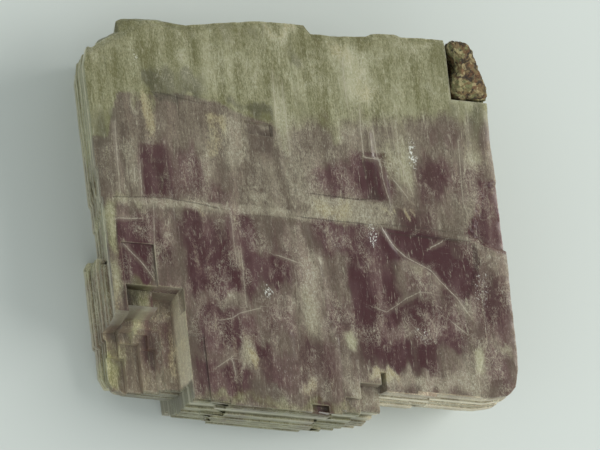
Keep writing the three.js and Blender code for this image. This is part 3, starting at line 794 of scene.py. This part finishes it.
def crystal_values(p, q, d, front_shape, number):
    """Every named point value of the block's material, for the front's points and the sides'."""
    count = front_shape[0] * front_shape[1]
    on_front = (np.arange(len(p)) < count).astype(float)
    on_side = 1 - on_front
    inset = ledge_inset().ravel()
    wall, rim, mosaic = np.zeros((3, len(p)))
    wall[:count] = (inset > 0.01) & (inset < WALL_SPREAD - 0.01)
    rim[:count] = step_rims(d[:count].reshape(front_shape)).ravel() * (d[:count] < LEDGE_DEPTH - 1)
    mosaic[:count] = fine_plates(p[:count], q[:count])[1]
    lamella = np.full(len(p), 0.5)
    lamella[count:] = np.repeat(0.5 + 0.5 * scatter(number, 80), (len(p) - count) // len(number))
    fracture, fracture_power = line_values(p, q, FRACTURES)
    groove, groove_power = line_values(p, q, GROOVES)
    drift = drifted(p, q)
    wine, veil, ochre, shade, olive = (
        patches(*drift, places) for places in (WINE, VEIL, OCHRE, SHADE, OLIVE)
    )
    plate_wine, plate_veil, plate_shade = (plate_tones(p, q, i) * on_front for i in range(3))

    skin = on_side * ease((d - 1) / 6)
    on_ledge = (d > LEDGE_DEPTH - 0.5) & (on_front == 1)
    lower_left = ease((q - 4) / 3) * ease((-33 - p) / 2) * on_side
    near_right_pages = on_side * ease((p - 11) / 5) * ease((q - 24) / 3)
    cream_wall = wall * (p < BLOCK_LEFT - 0.01) * (p > BLOCK_LEFT - WALL_SPREAD)
    other_wall = wall * (1 - cream_wall)
    far_third = olive_line(p) - q + 3 * (rough_noise(p * 0.15, q * 0.1, 0 * p, 2) - 0.5)
    far_third = ease(far_third / np.interp(p, [-3, -1], [1.2, 8]) + 0.5)
    far_olive = np.clip(far_third + olive, 0, 1)
    far_olive = far_olive + (0.42 - far_olive * 0.3) * skin
    olive = np.where(on_ledge, 0.12 + 0.8 * olive, far_olive)
    olive = (olive - 0.3 * lower_left) * (1 - near_right_pages)
    wine = 0.25 + 0.26 * ease(q + 2) + 1.25 * wine - 0.3 * far_third + plate_wine
    wine = wine + 1.1 * ease(inside(p, q, SIDE_FACET) / 0.8 + 0.5)
    wine = wine + 1.4 * ease(inside(p, q, DARK_FACET) / 0.8 + 0.4) * np.interp(p, [26, 33], [1, 0.4])
    wine = wine * (1 - 0.6 * skin) * (1 - 0.35 * on_ledge) + 0.4 * lower_left + 0.4 * other_wall
    veil = 1.25 * veil + plate_veil + 0.35 * ease(inside(p, q, MILKY_PART) / 0.9 + 0.4)
    veil = veil * (1 - 0.5 * skin) + 0.3 * skin
    veil = veil + 0.9 * cream_wall + seam_band(p, q) + 0.4 * near_right_pages
    # Painted light: the ledge, the wall beside the block, the near right pages, the left side and the corner
    # in the block's shadow are made lighter, standing in for light that comes through the crystal into these
    # shaded parts.
    painted_light_in_block_shadow = on_front * patches(p, q, [(-28, 18, 4, 3.8, 1)])
    painted_light = 0.55 * np.clip(on_ledge + cream_wall + near_right_pages, 0, 1)
    painted_light = painted_light + 0.3 * on_side * (p < -33.9) + 0.3 * painted_light_in_block_shadow
    return {
        "side": on_side, "lamella": lamella, "mosaic": mosaic, "rim": rim,
        "olive": olive, "wine": wine, "veil": veil, "ochre": 1.5 * ochre * (1 - 0.4 * skin),
        "shade": shade * (1 - skin) + plate_shade, "painted_light": np.clip(painted_light, 0, 1),
        "fracture": fracture, "fracture_power": fracture_power * on_front,
        "groove": groove, "groove_power": groove_power * on_front,
        "glint": patches(p, q, GLINTS) * on_front,
    }


# ---------------- material maker
def tone(red, green, blue):
    """A colour given as display values from 0 to 255, in linear light."""
    def linear(value):
        value = value / 255
        return value / 12.92 if value <= 0.04045 else ((value + 0.055) / 1.055) ** 2.4
    return (linear(red), linear(green), linear(blue), 1.0)


class Value:
    """A shader number. Sums and products of values, and of values with numbers, add nodes."""

    def __init__(self, finish, socket):
        self.finish = finish
        self.socket = socket

    def combined(self, operation, first, second):
        return self.finish.value("Math", {"operation": operation}, {0: first, 1: second})

    def __add__(self, other):
        return self.combined("ADD", self, other)

    def __sub__(self, other):
        return self.combined("SUBTRACT", self, other)

    def __rsub__(self, other):
        return self.combined("SUBTRACT", other, self)

    def __abs__(self):
        return self.combined("ABSOLUTE", self, 0)

    def __mul__(self, other):
        return self.combined("MULTIPLY", self, other)

    __radd__ = __add__
    __rmul__ = __mul__


class Finish:
    """A material under construction."""

    def __init__(self, name):
        self.material = bpy.data.materials.new(name)
        self.material.use_nodes = True
        self.tree = self.material.node_tree
        self.tree.nodes.clear()

    def node(self, kind, settings=None, sockets=None):
        """Any node: its type, its settings, then values or links for its sockets."""
        node = self.tree.nodes.new("ShaderNode" + kind)
        for key, setting in (settings or {}).items():
            setattr(node, key, setting)
        for key, given in (sockets or {}).items():
            if isinstance(given, Value):
                self.tree.links.new(given.socket, node.inputs[key])
            elif isinstance(given, bpy.types.NodeSocket):
                self.tree.links.new(given, node.inputs[key])
            else:
                node.inputs[key].default_value = given
        return node

    def value(self, kind, settings=None, sockets=None, output=0):
        return Value(self, self.node(kind, settings, sockets).outputs[output])

    def layer(self, name):
        """A named point value of the piece."""
        return self.value("Attribute", {"attribute_name": name}, output="Fac")

    def between(self, value, low, high):
        """From 0 to 1, with flat ends, as the value goes from low to high."""
        sockets = {"Value": value, "From Min": low, "From Max": high}
        return self.value("MapRange", {"interpolation_type": "SMOOTHSTEP"}, sockets)

    def noise(self, vector, scale, detail, roughness, distortion=0):
        """Noise from 0 to 1 on a vector."""
        sockets = {"Vector": vector, "Scale": scale, "Detail": detail, "Roughness": roughness}
        sockets["Distortion"] = distortion
        return self.value("TexNoise", {}, sockets, "Fac")

    def laths(self, vector):
        """A number from 0 to 1 that is even over each long sharp-edged cell of the vector."""
        cells = self.node("TexVoronoi", {"distance": "CHEBYCHEV"}, {"Vector": vector, "Scale": 1})
        return self.value("SeparateColor", {}, {0: cells.outputs["Color"]})

    def ridges(self, noise):
        """1 along the lines where the noise is at its middle, falling to 0 away from them."""
        return 1 - abs(noise * 2 - 1)

    def stretched(self, vector, factors):
        """A vector times a factor along each of its axes."""
        sockets = {0: vector, 1: factors}
        return self.node("VectorMath", {"operation": "MULTIPLY"}, sockets).outputs[0]

    def mixed(self, factor, first, second, blend="MIX"):
        """The second colour over the first one by a factor."""
        settings = {"data_type": "RGBA", "blend_type": blend}
        return self.node("Mix", settings, {0: factor, 6: first, 7: second}).outputs[2]

    def covered(self, colour, *layers):
        """A colour with others laid over it in turn, each by its share."""
        for share, laid in layers:
            colour = self.mixed(share, colour, laid)
        return colour

    def bumped(self, height, strength, distance):
        """The normal of a surface that is raised by a height."""
        sockets = {"Height": height, "Strength": strength, "Distance": distance}
        return self.node("Bump", {}, sockets).outputs[0]

    def done(self, settings, sockets):
        """The finished material, from its Principled surface's settings and sockets."""
        surface = self.node("BsdfPrincipled", settings, sockets)
        self.node("OutputMaterial", {}, {"Surface": surface.outputs[0]})
        return self.material


def cleavage_vector(finish):
    """Object coordinates as p, q and depth in millimetres: the inverse of place()."""
    inverse = np.linalg.inv(np.stack([EDGE_A, EDGE_B, EDGE_C], axis=1)) / MM
    start = inverse @ (START * MM)
    here = finish.node("TexCoord").outputs["Object"]
    parts = []
    for row, offset in zip(inverse, start):
        sockets = {0: here, 1: tuple(row)}
        along = finish.value("VectorMath", {"operation": "DOT_PRODUCT"}, sockets, "Value")
        parts.append(along - float(offset))
    return finish.node("CombineXYZ", {}, dict(enumerate(parts))).outputs[0]


def calcite_finish():
    """Cloudy calcite: deep wine, brown or olive under a grey-green haze that clouds, laths,
    short strokes and grain make thick or thin, with pale scribbles, frost, stains, healed
    fractures, painted glints and pale step rims that are partly painted highlight; painted
    shadow darkens some steps and hollows, and painted light brightens the shaded ledge and sides."""
    finish = Finish("calcite")
    lattice = cleavage_vector(finish)
    between, mixed, layer = finish.between, finish.mixed, finish.layer

    def noise(factors, detail, roughness, distortion=0):
        """Noise on the lattice, closer by factors along p, q and depth."""
        return finish.noise(finish.stretched(lattice, factors), 1, detail, roughness, distortion)

    side, mosaic, veil, lamella = (layer(name) for name in ("side", "mosaic", "veil", "lamella"))
    fibre = noise((2.7, 0.5, 2.2), 3, 0.65)
    streak = noise((0.9, 0.08, 0.9), 3, 0.6)
    page_line = noise((0.1, 0.1, 2.6), 3, 0.65)
    cloud = noise((0.24, 0.17, 0.24), 5, 0.62, 0.6)
    grain = noise((4.4, 1.7, 3.8), 3, 0.8)
    silky = noise((0.21, 0.09, 0.2), 3, 0.55)
    across = noise((0.16, 3, 1), 2, 0.5)
    spark = noise((2.6, 1.9, 2), 2, 0.8)
    web = finish.ridges(noise((0.42, 0.3, 0.4), 3, 0.6, 1.4))
    scribble = finish.ridges(noise((1.3, 0.7, 1.2), 2, 0.6, 1.8))
    wide_lath = finish.laths(finish.stretched(lattice, (0.5, 0.055, 0.3)))
    thin_lath = finish.laths(finish.stretched(lattice, (1.7, 0.17, 0.8)))
    line_tone = streak + side * (page_line - streak)

    ragged = (streak - 0.5) * 0.4 + (cloud - 0.5) * 0.95 + (grain - 0.5) * 0.9 + mosaic * 0.12
    ragged = ragged + (wide_lath - 0.5) * 0.36 + (thin_lath - 0.5) * 0.2
    wine_share = between(layer("wine") + ragged, 0.05, 1.25)
    olive_share = between(layer("olive") + ragged * 0.6, 0.1, 0.9)
    mauve = mixed(between(silky, 0.42, 0.66), tone(70, 34, 38), tone(92, 64, 64))
    deep = mixed(olive_share, mixed(wine_share, tone(97, 84, 72), mauve), tone(110, 108, 70))
    haze_tone = mixed(wine_share, tone(149, 141, 120), tone(141, 119, 110))
    haze_tone = mixed(olive_share, haze_tone, tone(171, 169, 138))
    torn = (fibre - 0.5) * (between(silky, 0.42, 0.62) * 1.1 + 0.3) + (grain - 0.5) * 2.5
    haze = veil * 0.55 - wine_share * 0.42 + mosaic * 0.12 + 0.38
    haze = haze + (line_tone - 0.5) * (side * 0.6 + 0.4) + (cloud - 0.5) * 0.9
    haze = haze + torn * (1.1 - wine_share * 0.6) + (silky - 0.5)
    haze = haze + (wide_lath - 0.5) * 0.3 + (thin_lath - 0.5) * 0.24
    thick = finish.value("Math", {"operation": "MULTIPLY", "use_clamp": True}, {0: haze, 1: 0.95})

    # The shade layer: dark olive tone, partly painted shadow at steps and in hollows.
    shade_share = between(layer("shade") + ragged, 0.2, 1)
    ochre_share = between(layer("ochre") + ragged + torn * 0.5, 0.2, 1.3)
    flaky = between(grain * 0.5 + scribble * 0.5, 0.56, 0.8)
    dark_line = side * between(page_line * 0.6 + lamella * 0.4, 0.52, 0.36)
    pale_line = side * between(page_line * 0.5 + lamella * 0.5, 0.56, 0.75)
    webbed = between(veil + (cloud - 0.5) * 2 + wine_share * 0.2, 0.15, 0.9)
    strand = between(web + torn * 0.03, 0.94, 0.995) * webbed
    scrawl = between(scribble + torn * 0.04, 0.88, 0.98) * between(cloud + veil * 0.12, 0.47, 0.64)
    thread = between(finish.ridges(streak), 0.96, 0.995) * between(fibre, 0.5, 0.64)
    scratch = between(across, 0.66, 0.74) * between(grain, 0.48, 0.62)
    hair = strand * 0.3 + scrawl * 0.4 + (scratch * 0.3 + thread * 0.5) * (1 - side)
    frost = between(grain + veil * 0.05 + (silky - 0.5) * 0.3, 0.64, 0.77)
    pit = between(grain + (silky - 0.5) * 0.2, 0.36, 0.24)
    # Pale rim at step brinks: partly chipped edge, partly painted edge highlight.
    rim = between(layer("rim") + (grain - 0.5) * 1.2, 0.5, 1)
    off_crack, off_groove = abs(layer("fracture")), abs(layer("groove"))
    halo = between(off_crack + (cloud - 0.5) * 2 + (grain - 0.5), 0.9, 0.1) * layer("fracture_power")
    crack = between(off_crack + (grain - 0.5) * 0.5, 0.13, 0) * layer("fracture_power")
    groove = between(off_groove + (grain - 0.5) * 0.5, 0.24, 0.05) * layer("groove_power")
    # Painted glints: near-white highlight specks laid into the colour.
    glint = between(spark + layer("glint") * 0.26, 0.74, 0.84) * (1 - side)
    colour = finish.covered(
        mixed(thick, deep, haze_tone), (shade_share * 0.6, tone(66, 62, 48)),
        (ochre_share * 0.65, mixed(flaky, tone(156, 143, 100), tone(192, 184, 150))),
        (dark_line * 0.5, tone(84, 82, 60)), (pale_line * 0.45, tone(196, 190, 170)),
        (hair, tone(192, 188, 166)), (frost * 0.6, tone(204, 204, 190)),
        (pit * 0.5, tone(60, 46, 36)), (rim * 0.3, tone(176, 172, 146)),
        (halo * 0.25, tone(158, 150, 130)), (groove * 0.7, tone(58, 46, 36)),
        (crack * 0.7, tone(196, 190, 172)), (glint * 0.85, tone(232, 234, 226)),
    )
    # Painted light: the colour is multiplied brighter where painted light is laid.
    colour_with_painted_light = mixed(layer("painted_light"), colour, (2.7, 2.65, 2.6, 1), "MULTIPLY")
    height = fibre * 0.35 + grain * 0.25 + across * 0.2 + line_tone * 0.4
    return finish.done({"subsurface_method": "RANDOM_WALK"}, {
        "Base Color": colour_with_painted_light, "Roughness": 0.25 + 0.25 * thick + 0.25 * ochre_share + 0.1 * fibre,
        "IOR": 1.6, "Transmission Weight": 0.2, "Specular IOR Level": 0.25,
        "Subsurface Weight": 0.35, "Subsurface Radius": (1, 0.85, 0.7), "Subsurface Scale": 0.0025,
        "Normal": finish.bumped(height, 0.4, 0.0001),
    })


def rock_finish():
    """Olive-brown rock: rusty zones, pale and green grains, dark pits and dark cracks."""
    finish = Finish("rock")
    here = finish.node("TexCoord").outputs["Object"]
    between = finish.between
    zone = finish.noise(here, 260, 2, 0.5)
    coarse = finish.noise(here, 700, 3, 0.6, 0.8)
    fine = finish.noise(here, 1700, 4, 0.75)
    grains = finish.node("TexVoronoi", {}, {"Vector": here, "Scale": 1500})
    grain_tone = finish.value("SeparateColor", {}, {0: grains.outputs["Color"]})
    rusty = finish.mixed(between(coarse, 0.42, 0.6), tone(60, 48, 32), tone(112, 94, 62))
    colour = finish.covered(
        rusty, (between(zone + (coarse - 0.5) * 0.5, 0.5, 0.6), tone(112, 110, 72)),
        (between(grain_tone, 0.6, 0.8) * 0.6, tone(166, 152, 112)),
        (between(grain_tone, 0.35, 0.15) * 0.6, tone(108, 74, 46)),
        (between(fine + (coarse - 0.5) * 0.6, 0.46, 0.34), tone(38, 30, 22)),
    )
    return finish.done({}, {
        "Base Color": colour, "Roughness": 0.85 - 0.2 * coarse,
        "Normal": finish.bumped(coarse * 0.6 + fine, 0.8, 0.0003),
    })


# ---------------- the pieces
def calcite_piece():
    """The block's skin with its point values, without the points that no face uses."""
    p, q, d, front_faces, side_faces, back, front_shape, number = crystal_surface()
    used = np.zeros(len(p), bool)
    used[front_faces.ravel()] = True
    used[side_faces.ravel()] = True
    renumber = np.cumsum(used) - 1
    values = crystal_values(p, q, d, front_shape, number)
    values = {label: numbers[used] for label, numbers in values.items()}
    faces = renumber[np.concatenate([front_faces, side_faces])].tolist()
    faces.append(renumber[back][::-1].tolist())
    piece = mesh_piece("calcite_block", place(p, q, d)[used], faces, calcite_finish(), values)
    piece.data.shade_smooth()
    piece.data.set_sharp_from_angle(angle=math.radians(24))
    return piece


def rock_piece():
    """The rock: a blunt box, wider at the near end, pushed in and out by grains of three sizes.

    One parameter turns about the q axis and the other goes from the near pole to the far one."""
    around, lengthwise = 260, 170
    turn = np.linspace(0, 2 * np.pi, around, endpoint=False)
    climb = np.linspace(0, np.pi, lengthwise)[1:-1]
    climb, turn = np.meshgrid(climb, turn, indexing="ij")
    x, y, z = np.sin(climb) * np.cos(turn), np.cos(climb), np.sin(climb) * np.sin(turn)
    x, y, z = (np.concatenate([a.ravel(), [0, 0]]) for a in (x, y, z))
    y[-2:] = (1, -1)
    blunt = (np.abs(x) ** 5 + np.abs(y) ** 5 + np.abs(z) ** 5) ** (-1 / 5)
    x, y, z = x * blunt, y * blunt, z * blunt
    knobs = rough_noise(x * 1.8 + 4, y * 2.6, z * 2.2, 2) - 0.5
    grains = rough_noise(x * 6, y * 10, z * 10, 3) - 0.5
    swell = 0.7 * knobs + 0.75 * grains
    flare = 0.9 * y
    waist = 1.3 * np.exp(-(((y + 0.15) / 0.4) ** 2)) * np.clip(-x, 0, 1)
    p = x * (ROCK_RADII[0] + flare + swell) + flare + waist + ROCK_MIDDLE[0]
    q = y * (ROCK_RADII[1] + swell) + ROCK_MIDDLE[1]
    d = z * (ROCK_RADII[2] + 0.5 * swell) + ROCK_MIDDLE[2]
    count = (lengthwise - 2) * around
    rings = np.arange(count).reshape(lengthwise - 2, around)
    rings = np.concatenate([rings, rings[:, :1]], axis=1)
    faces = triangles(quads(rings)[:, ::-1]).tolist()
    faces += [[b, a, count] for a, b in zip(rings[0, :-1].tolist(), rings[0, 1:].tolist())]
    faces += [[a, b, count + 1] for a, b in zip(rings[-1, :-1].tolist(), rings[-1, 1:].tolist())]
    piece = mesh_piece("rock_knob", place(p, q, d), faces, rock_finish())
    piece.data.shade_smooth()
    return piece


def floor_piece():
    """A plain pale sheet, three metres square."""
    paper = Finish("floor").done({}, {"Base Color": tone(200, 206, 203), "Roughness": 0.9})
    corners = [(1.5 * x, 1.5 * y, 0) for x, y in ((-1, -1), (1, -1), (1, 1), (-1, 1))]
    return mesh_piece("floor", corners, [(0, 1, 2, 3)], paper)


# ---------------- camera and light
def camera_above():
    """The camera looks straight down on the front cleavage from CAMERA_HEIGHT above it."""
    data = bpy.data.cameras.new("camera")
    data.sensor_width = 36
    data.lens = 210
    data.clip_end = 10
    camera = bpy.data.objects.new("camera", data)
    camera.location = ((START[0] + 0.5) * MM, (START[1] + 0.2) * MM, (THICKNESS + CAMERA_HEIGHT) * MM)
    bpy.context.scene.collection.objects.link(camera)
    bpy.context.scene.camera = camera


def area_light(name, place_at, size, power, colour):
    """A round soft light that faces the block."""
    data = bpy.data.lights.new(name, "AREA")
    data.shape = "DISK"
    data.size = size
    data.energy = power
    data.color = colour
    light = bpy.data.objects.new(name, data)
    light.location = place_at
    toward = Vector((0, 0, 0.02)) - Vector(place_at)
    light.rotation_euler = toward.to_track_quat("-Z", "Y").to_euler()
    bpy.context.scene.collection.objects.link(light)


def studio():
    """An even pale surround, a key light from the right and a weak fill from the near side."""
    world = bpy.data.worlds.new("studio")
    world.use_nodes = True
    surround = world.node_tree.nodes["Background"]
    surround.inputs["Color"].default_value = (0.9, 0.95, 0.93, 1)
    surround.inputs["Strength"].default_value = 0.68
    bpy.context.scene.world = world
    area_light("key", (0.52, 0.09, 0.55), 0.4, 3.5, (1.0, 0.985, 0.95))
    area_light("fill", (0.25, -0.6, 0.3), 0.5, 1.0, (0.97, 1.0, 1.0))


camera_above()
studio()
floor_piece()
block = calcite_piece()
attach(block, "root")
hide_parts("calcite_crystal")
knob = rock_piece()
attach(knob, "root")
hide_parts("host_rock")
bpy.context.scene.view_settings.view_transform = "Standard"
